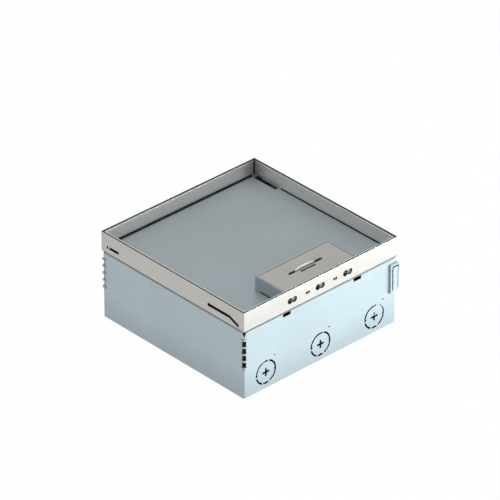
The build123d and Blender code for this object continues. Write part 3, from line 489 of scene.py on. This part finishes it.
def place(shape, name, body, finish, stands_for=()):
    """Puts a finished shape on its body, in its finish, in place of the nodes that it stands for."""
    piece = linked(shape, name)
    mesh = piece.data
    mesh.materials.clear()
    mesh.materials.append(finishes[finish])
    carried = mesh.attributes.get("custom_normal")
    if carried:
        mesh.attributes.remove(carried)
    mesh.shade_smooth()
    mesh.set_sharp_from_angle(angle=SHARP_ANGLE)
    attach(piece, body)
    if stands_for:
        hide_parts(*stands_for)


# Round holes of the frame's front and the rim, in millimetres: as packed, then as photographed
EYELET_PITCH = 36.0
EYELET_HEIGHT = (84.3, 84.1)
EYELET_RADIUS = (3.3, 3.2)
EYELET_SHIFTS = ((-5.3, -4.7), (0.0, 0.9))
PIP_RADIUS = (1.25, 1.5)
PIP_SHIFT = 1.2
HOLE_EDGE = 0.03


def round_holes():
    """The middle and radius of each round hole, as packed and as photographed."""
    (z, new_z), (radius, new_radius) = EYELET_HEIGHT, EYELET_RADIUS
    for index in ROW:
        for shift, new_shift in EYELET_SHIFTS:
            middle = index * EYELET_PITCH
            yield (middle + shift, z, radius), (middle + new_shift, new_z, new_radius)
    for side in SIDES:
        for shift in (-PIP_SHIFT, PIP_SHIFT):
            x = side * EYELET_PITCH / 2 + shift
            yield (x, z, PIP_RADIUS[0]), (x, new_z, PIP_RADIUS[1])


def settle_eyelets(shape):
    """Moves the round holes' edges to where the photograph shows them."""
    for vert in [vert for vert in shape.verts if vert.co.y < (0.4 - RIM_INSIDE) * MM]:
        spots = []
        for (x, z, radius), (new_x, new_z, new_radius) in round_holes():
            dx, dz = vert.co.x / MM - x, vert.co.z / MM - z
            if abs(math.hypot(dx, dz) - radius) < HOLE_EDGE:
                grow = new_radius / radius
                spots.append((new_x + dx * grow, new_z + dz * grow))
        if spots:
            vert.co.x = sum(spot[0] for spot in spots) / len(spots) * MM
            vert.co.z = sum(spot[1] for spot in spots) / len(spots) * MM


def make_front_strips():
    """The frame's front and back strips, with the eyelets where the photograph has them."""
    shape = copied("outer_frame")
    settle_eyelets(shape)
    place(shape, "frame_strips", "frame", "stainless_band", ("outer_frame",))


# Rivet heads and pins on the rim, in millimetres: radius, and the shift from the middle of the hole pair
HEAD = (2.75, 1.1)
PIN = (1.2, PIP_SHIFT + 0.1)
STUD_Y = -98.25
STUD_DEPTH = 0.9
STUD_CHAMFER = 0.15


def make_eyelet_studs():
    """The rivet heads seen in the right half of each eyelet, dark with painted shade, and the small pins beside
    the pips.
    """
    heads, pins = bmesh.new(), bmesh.new()
    for shape, (radius, shift), middles in (
        (heads, HEAD, [index * EYELET_PITCH for index in ROW]),
        (pins, PIN, [side * EYELET_PITCH / 2 for side in SIDES]),
    ):
        for middle in middles:
            add_rod(shape, "Y", (middle + shift, STUD_Y, EYELET_HEIGHT[1]), radius, STUD_DEPTH, STUD_CHAMFER)
    place(heads, "eyelet_heads", "cover", "painted_shade_heads")
    place(pins, "eyelet_pins", "cover", "galvanised_pan")


# Slots of the frame's sides, in millimetres: the bent one's y and z, and the straight one's ends and height
GUIDE_SLOT = ((-52.0, 83.5), (-80.2, 83.5), (-91.6, 78.8))
GUIDE_SLOT_HALF = 1.65
GUIDE_SLOT_HEAD = 2.1
HINGE_SLOT = (74.9, 92.5)
HINGE_SLOT_HEIGHT = 81.8
HINGE_SLOT_HALF = 1.5
SLOT_CUT_DEPTH = 3.0


def cut_guide_slot(cutter, x):
    """Adds the bent slot's two runs and its three round ends to a cutter."""
    for (y0, z0), (y1, z1) in zip(GUIDE_SLOT, GUIDE_SLOT[1:]):
        run = math.hypot(y1 - y0, z1 - z0)
        tilt = Matrix.Rotation(math.atan2(z1 - z0, y1 - y0), 4, "X")
        middle = Matrix.Translation(Vector((x, (y0 + y1) / 2, (z0 + z1) / 2)) * MM)
        size = Matrix.Diagonal((SLOT_CUT_DEPTH * MM, run * MM, 2 * GUIDE_SLOT_HALF * MM, 1.0))
        bmesh.ops.create_cube(cutter, size=1.0, matrix=middle @ tilt @ size)
    for (y, z), radius in zip(GUIDE_SLOT, (GUIDE_SLOT_HEAD, GUIDE_SLOT_HALF, GUIDE_SLOT_HALF)):
        add_rod(cutter, "X", (x, y, z), radius, SLOT_CUT_DEPTH)


def cut_hinge_slot(cutter, x):
    """Adds the straight slot with its two round ends to a cutter."""
    z, half = HINGE_SLOT_HEIGHT, HINGE_SLOT_HALF
    front, back = HINGE_SLOT[0] + half, HINGE_SLOT[1] - half
    add_block(cutter, (x - SLOT_CUT_DEPTH / 2, x + SLOT_CUT_DEPTH / 2), (front, back), (z - half, z + half))
    for y in (front, back):
        add_rod(cutter, "X", (x, y, z), half, SLOT_CUT_DEPTH)


def make_side_strips():
    """The frame's side strips, with their slots as wide as in the photograph."""
    cutter = bmesh.new()
    for side in SIDES:
        x = side * (FRAME_OUTSIDE + FRAME_INSIDE) / 2
        cut_guide_slot(cutter, x)
        cut_hinge_slot(cutter, x)
    shape = carved(copied("frame_sides"), cutter)
    place(shape, "frame_side_strips", "frame", "stainless_band", ("frame_sides",))


# Slots of the cord flap, in millimetres: x, then y. They are cut through its sheet over one height.
HANDLE_SLOT = ((-21.6, 21.6), (-79.2, -76.4))
SHORT_SLOT = ((-9.6, 9.6), (-82.6, -80.4))
FLAP_CUT = (93.2, 96.0)


def make_outlet_flap():
    """The cord flap, with open slots in front of the handle's blade."""
    cutter = bmesh.new()
    for x, y in (HANDLE_SLOT, SHORT_SLOT):
        add_block(cutter, x, y, FLAP_CUT)
    shape = carved(copied("cord_flap"), cutter)
    place(shape, "outlet_flap", "flap", "stainless_flap", ("cord_flap",))


# Strip inside the left corner, in millimetres: its faces' distances from the middle, its ends and heights
LINER_FACES = (98.15, 98.65)
LINER_END = 92.0
LINER_HEIGHTS = (36.0, 73.0)


def make_corner_liner():
    """The folded strip behind the windows of the left corner, which leaves only low scallops."""
    inner, outer = LINER_FACES
    shape = bmesh.new()
    add_block(shape, (-outer, -LINER_END), LINER_FACES, LINER_HEIGHTS)
    add_block(shape, (-outer, -inner), (LINER_END, inner), LINER_HEIGHTS)
    place(shape, "corner_liner", "box", "galvanised_wall")


# Openings at the foot of the rim, beside the pan's slits, in millimetres
BACK_OPENING = (-80.0, 94.0)
BACK_OPENING_HEIGHTS = (78.9, 81.2)
SIDE_OPENING = (-79.8, 59.0)
SIDE_OPENING_HEIGHTS = (78.9, 80.9)
RIM_CUT = (RIM_INSIDE - 0.4, RIM_OUTSIDE + 0.5)
RIM_RISE = 0.5


def make_cover_rim():
    """The cover's rim, nearly level with the frame's top edge, open at its foot beside the slits."""
    cutter = bmesh.new()
    add_block(cutter, BACK_OPENING, RIM_CUT, BACK_OPENING_HEIGHTS)
    for side in SIDES:
        add_block(cutter, sorted(side * edge for edge in RIM_CUT), SIDE_OPENING, SIDE_OPENING_HEIGHTS)
    shape = carved(copied("tray_rim"), cutter)
    settle_eyelets(shape)
    top = [vert for vert in shape.verts if vert.co.z > (RIM_TOP - 0.4) * MM]
    bmesh.ops.translate(shape, verts=top, vec=(0.0, 0.0, RIM_RISE * MM))
    place(shape, "cover_rim", "cover", "stainless_rim", ("tray_rim",))


# What is cut from the handle's blade on each side of its crest, in millimetres
BLADE_CUT_X = (12.2, 21.9)
BLADE_CUT_Y = (-80.0, -74.0)
BLADE_CUT_Z = (90.5, 96.5)


def make_lift_handle():
    """The pull handle, lower in its slot on both sides of the crest."""
    cutter = bmesh.new()
    for side in SIDES:
        add_block(cutter, sorted(side * edge for edge in BLADE_CUT_X), BLADE_CUT_Y, BLADE_CUT_Z)
    shape = carved(copied("pull_handle"), cutter)
    place(shape, "lift_handle", "handle", "handle_painted_highlight", ("pull_handle",))


# Hem of the well's back wall, in millimetres
HEM = ((-46.4, 46.4), (-60.0, -57.5), (94.45, 95.15))
HEM_ROUNDING = 0.12


def make_well_hem():
    """The hem along the top of the well's back wall, which narrows the gap behind the flap."""
    shape = bmesh.new()
    add_block(shape, *HEM)
    soften(shape, shape.edges[:], HEM_ROUNDING)
    place(shape, "well_hem", "cover", "galvanised_pan")


# Knock-outs, in millimetres and degrees: ring slot's radii, its arcs, and the cross's half length and width
KNOCKOUT_PLACES = (-71.0, 0.0, 71.0)
KNOCKOUT_HEIGHT = 17.9
KNOCKOUT_SLOT = (11.25, 13.1)
KNOCKOUT_ARCS = ((79, 186), (194, 246), (254, 286), (294, 431))
CROSS = (4.5, 1.15)
WALL_CUT = (-99.8, -97.4)
ARC_STEP = 5


def cut_ring_slots(cutter, x):
    """Adds the arcs of one knock-out's ring slot to a cutter."""
    centre = Vector((x, sum(WALL_CUT) / 2, KNOCKOUT_HEIGHT)) * MM
    inner, outer = KNOCKOUT_SLOT
    section = Matrix.Diagonal(((outer - inner) * MM, (WALL_CUT[1] - WALL_CUT[0]) * MM, 1.0, 1.0))
    offset = Matrix.Translation(((inner + outer) / 2 * MM, 0.0, 0.0))
    for first, last in KNOCKOUT_ARCS:
        turn = Matrix.Rotation(math.radians(-first), 4, "Y")
        start = Matrix.Translation(centre) @ turn @ offset @ section
        made = bmesh.ops.create_grid(cutter, x_segments=1, y_segments=1, size=0.5, matrix=start)
        face = made["verts"][0].link_faces[0]
        bmesh.ops.spin(
            cutter, geom=[face, *face.edges, *face.verts], cent=centre, axis=(0.0, -1.0, 0.0),
            angle=math.radians(last - first), steps=(last - first) // ARC_STEP, use_duplicate=False,
        )


def cut_cross(cutter, x):
    """Adds one knock-out's cross to a cutter, as a bar and two stubs."""
    long, half = CROSS
    z = KNOCKOUT_HEIGHT
    add_block(cutter, (x - long, x + long), WALL_CUT, (z - half, z + half))
    for side in SIDES:
        low, high = sorted((side * half, side * long))
        add_block(cutter, (x - half, x + half), WALL_CUT, (z + low, z + high))


# Notches under the frame, in millimetres: packed middles, the shift to the photographed ones, half width
NOTCH_PLACES = (-46.0, 46.0)
NOTCH_SHIFT = 1.8
NOTCH_HALF = 5.2
NOTCH_FOOT = 68.5
BRIDGE = ((-99.05, -98.15), (72.5, 73.45))
NOTCH_CUT = ((-99.6, -96.0), (67.8, 73.55))


def notch_span(spare=0.0):
    """The low and high x of each notch as photographed, with something to spare on each side."""
    for middle in NOTCH_PLACES:
        half = NOTCH_HALF + spare
        yield middle + NOTCH_SHIFT - half, middle + NOTCH_SHIFT + half


def make_box_wall():
    """The box's walls, with the knock-outs as wide and the notches where the photograph has them."""
    cutter = bmesh.new()
    for x in KNOCKOUT_PLACES:
        cut_ring_slots(cutter, x)
        cut_cross(cutter, x)
    bmesh.ops.recalc_face_normals(cutter, faces=cutter.faces)
    shape = carved(copied("wall_band"), cutter)
    for vert in shape.verts:
        front = vert.co.y < (0.2 - WALL_INSIDE) * MM and vert.co.z > NOTCH_FOOT * MM
        if front and any(abs(vert.co.x / MM - middle) < NOTCH_HALF for middle in NOTCH_PLACES):
            vert.co.x += NOTCH_SHIFT * MM
    place(shape, "box_wall", "box", "galvanised_wall", ("wall_band",))


def make_notch_bridges():
    """The narrow strips that close the notches at the top, under the frame's edge."""
    shape = bmesh.new()
    for x in notch_span(0.2):
        add_block(shape, x, *BRIDGE)
    place(shape, "notch_bridges", "box", "galvanised_wall")


def make_open_ring():
    """The support ring and its skirt, cut away behind the notches so that they look into the box."""
    for node, name in (("support_ring", "ledge_ring"), ("ring_skirt", "skirt_band")):
        cutter = bmesh.new()
        for x in notch_span():
            add_block(cutter, x, *NOTCH_CUT)
        shape = carved(copied(node), cutter)
        place(shape, name, "frame", "galvanised_wall", (node,))


# Floor and world: the white's share of the floor, the fill's strength, and the sky's dimming with height
FLOOR_WHITE = 0.97
FLOOR_RADIUS = 30.0
FILL_STRENGTH = 0.7
CEILING_HEIGHTS = (0.05, 0.5)
CEILING_STRENGTHS = (1.0, 0.5)


def lay_floor():
    """A pale floor that is seen as nearly white, with the object's shadow kept."""
    mesh = bpy.data.meshes.new("studio_floor")
    shape = bmesh.new()
    bmesh.ops.create_circle(shape, cap_ends=True, segments=96, radius=FLOOR_RADIUS)
    shape.to_mesh(mesh)
    shape.free()
    floor = bpy.data.objects.new("studio_floor", mesh)
    bpy.context.scene.collection.objects.link(floor)
    paint = Finish("floor_paint")
    paint.finish(Base_Color=(0.9, 0.9, 0.9, 1.0), Roughness=0.9)
    glow = paint.add("ShaderNodeEmission", Color=(1.0, 1.0, 1.0, 1.0), Strength=1.0)
    rays = paint.add("ShaderNodeLightPath").outputs
    seen = paint.step("MAXIMUM", rays["Is Camera Ray"], rays["Is Glossy Ray"])
    through = paint.step("MAXIMUM", seen, rays["Is Transmission Ray"])
    mix = paint.add("ShaderNodeMixShader")
    sources = (paint.step("MULTIPLY", through, FLOOR_WHITE), paint.shader.outputs[0], glow.outputs[0])
    for socket, source in zip(mix.inputs, sources):
        paint.set(socket, source)
    paint.set(paint.tree.nodes["Material Output"].inputs["Surface"], mix.outputs[0])
    mesh.materials.append(paint.material)


def light_world():
    """White at the horizon for camera and glossy rays, with a dimmer ceiling; soft fill for the rest."""
    world = bpy.data.worlds.new("studio")
    bpy.context.scene.world = world
    world.use_nodes = True
    tree = world.node_tree
    tree.nodes.clear()
    links = tree.links
    direction = tree.nodes.new("ShaderNodeTexCoord").outputs["Generated"]
    split = tree.nodes.new("ShaderNodeSeparateXYZ")
    links.new(direction, split.inputs[0])
    ceiling = tree.nodes.new("ShaderNodeMapRange")
    for socket, value in zip(ceiling.inputs[1:], CEILING_HEIGHTS + CEILING_STRENGTHS):
        socket.default_value = value
    links.new(split.outputs["Z"], ceiling.inputs[0])
    rays = tree.nodes.new("ShaderNodeLightPath")
    glossy = tree.nodes.new("ShaderNodeBackground")
    links.new(ceiling.outputs[0], glossy.inputs["Strength"])
    fill = tree.nodes.new("ShaderNodeBackground")
    fill.inputs["Strength"].default_value = FILL_STRENGTH
    white = tree.nodes.new("ShaderNodeBackground")
    for background in (glossy, fill, white):
        background.inputs["Color"].default_value = (1.0, 1.0, 1.0, 1.0)
    first = tree.nodes.new("ShaderNodeMixShader")
    links.new(rays.outputs["Is Glossy Ray"], first.inputs[0])
    links.new(fill.outputs[0], first.inputs[1])
    links.new(glossy.outputs[0], first.inputs[2])
    seen = tree.nodes.new("ShaderNodeMath")
    seen.operation = "MAXIMUM"
    links.new(rays.outputs["Is Camera Ray"], seen.inputs[0])
    links.new(rays.outputs["Is Transmission Ray"], seen.inputs[1])
    second = tree.nodes.new("ShaderNodeMixShader")
    links.new(seen.outputs[0], second.inputs[0])
    links.new(first.outputs[0], second.inputs[1])
    links.new(white.outputs[0], second.inputs[2])
    output = tree.nodes.new("ShaderNodeOutputWorld")
    links.new(second.outputs[0], output.inputs["Surface"])


def add_lamp(name, spot, aim, size, level, colour=(1.0, 1.0, 1.0)):
    """A soft lamp of a width and height; a level of 1 lights a facing surface to its own colour."""
    lamp = bpy.data.lights.new(name, "AREA")
    lamp.shape = "RECTANGLE"
    lamp.size, lamp.size_y = size
    reach = Vector(spot) - Vector(aim)
    lamp.energy = level * math.pi**2 * reach.length_squared
    lamp.color = colour
    holder = bpy.data.objects.new(name, lamp)
    holder.matrix_world = Matrix.Translation(spot) @ reach.to_track_quat("Z", "Y").to_matrix().to_4x4()
    holder.visible_camera = False
    bpy.context.scene.collection.objects.link(holder)


def place_camera():
    """The camera at the photograph's angle, looking down along its own fitted line."""
    azimuth, elevation = math.radians(VIEW_AZIMUTH), math.radians(VIEW_ELEVATION)
    level = math.cos(elevation)
    forward = Vector((level * math.sin(azimuth), level * math.cos(azimuth), -math.sin(elevation)))
    side = Vector((math.cos(azimuth), -math.sin(azimuth), 0.0))
    target = side * TARGET_SIDE + Vector((0.0, 0.0, TARGET_HEIGHT))
    lens = bpy.data.cameras.new("photo_camera")
    lens.lens = VIEW_LENS
    lens.sensor_width = SENSOR_WIDTH
    lens.clip_end = 100.0
    camera = bpy.data.objects.new("photo_camera", lens)
    turn = (-forward).to_track_quat("Z", "Y").to_matrix().to_4x4()
    camera.matrix_world = Matrix.Translation(target - forward * VIEW_DISTANCE) @ turn
    bpy.context.scene.collection.objects.link(camera)
    bpy.context.scene.camera = camera


dress_nodes()
make_front_strips()
make_side_strips()
make_eyelet_studs()
make_outlet_flap()
make_corner_liner()
make_cover_rim()
make_lift_handle()
make_well_hem()
make_box_wall()
make_notch_bridges()
make_open_ring()
lay_floor()
light_world()
add_lamp(
    "low_key", spot=(1.05, -1.15, 0.06), aim=(0.0, -0.1, 0.06), size=(1.6, 0.12), level=2.2,
    colour=(0.95, 1.0, 1.02),
)
add_lamp("overhead", spot=(0.0, 0.4, 2.4), aim=(0.0, 0.0, 0.08), size=(1.8, 1.8), level=0.3)
place_camera()
bpy.context.scene.view_settings.view_transform = "Standard"
